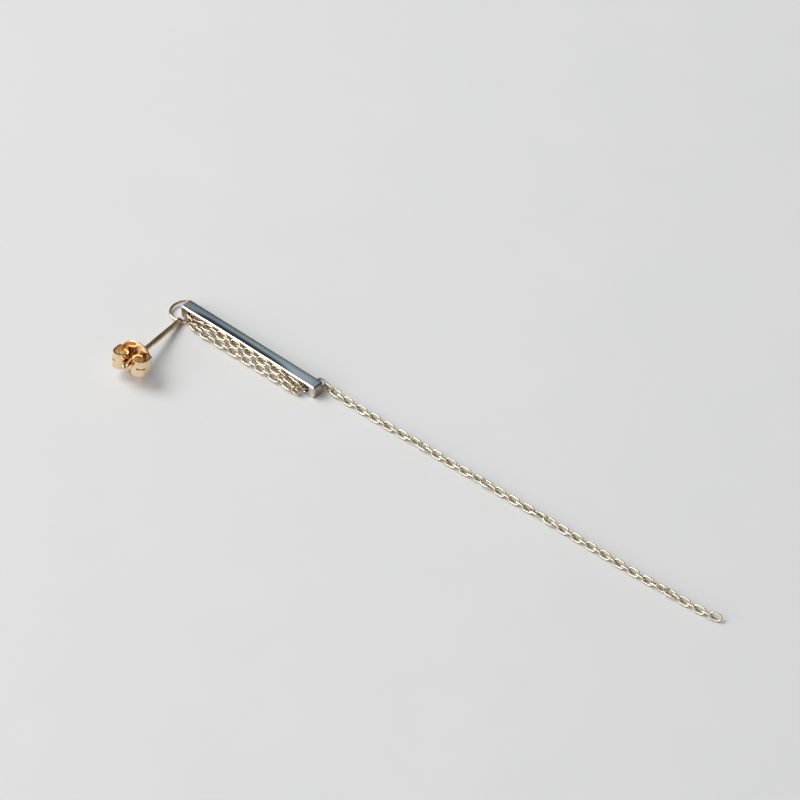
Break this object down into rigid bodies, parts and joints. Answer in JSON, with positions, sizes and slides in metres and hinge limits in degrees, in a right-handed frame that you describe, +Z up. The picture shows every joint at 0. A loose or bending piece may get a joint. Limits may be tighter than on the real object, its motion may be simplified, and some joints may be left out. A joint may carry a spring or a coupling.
{
  "type": "bar earring",
  "caption": "Bar drop earring lying on its side: a square bar threaded by a ring with an ear post and by a fine chain that runs on as a long tail.",
  "frame": {"origin": "middle of the bar's underside, on the surface that the earring lies on", "axes": "+X along the bar towards the chain's free end, +Z up, -Y towards the ear post's tip"},
  "size_m": [0.078, 0.0164, 0.0041],
  "materials": {
    "bar_metal": "polished silver",
    "post_metal": "polished pale gold",
    "back_metal": "polished yellow gold",
    "chain_metal": "polished pale gold"
  },
  "bodies": {
    "earring": {"bar": "bar_metal", "ear_post": "post_metal", "bar_chain": "chain_metal", "tail_chain": "chain_metal"},
    "back": {"ear_back": "back_metal"}
  },
  "joints": [
    {"name": "back_slide", "type": "slide", "parent": "earring", "child": "back", "axis": [0.2095, -0.9608, 0.1814], "range_m": [-0.0065, 0.006]}
  ]
}
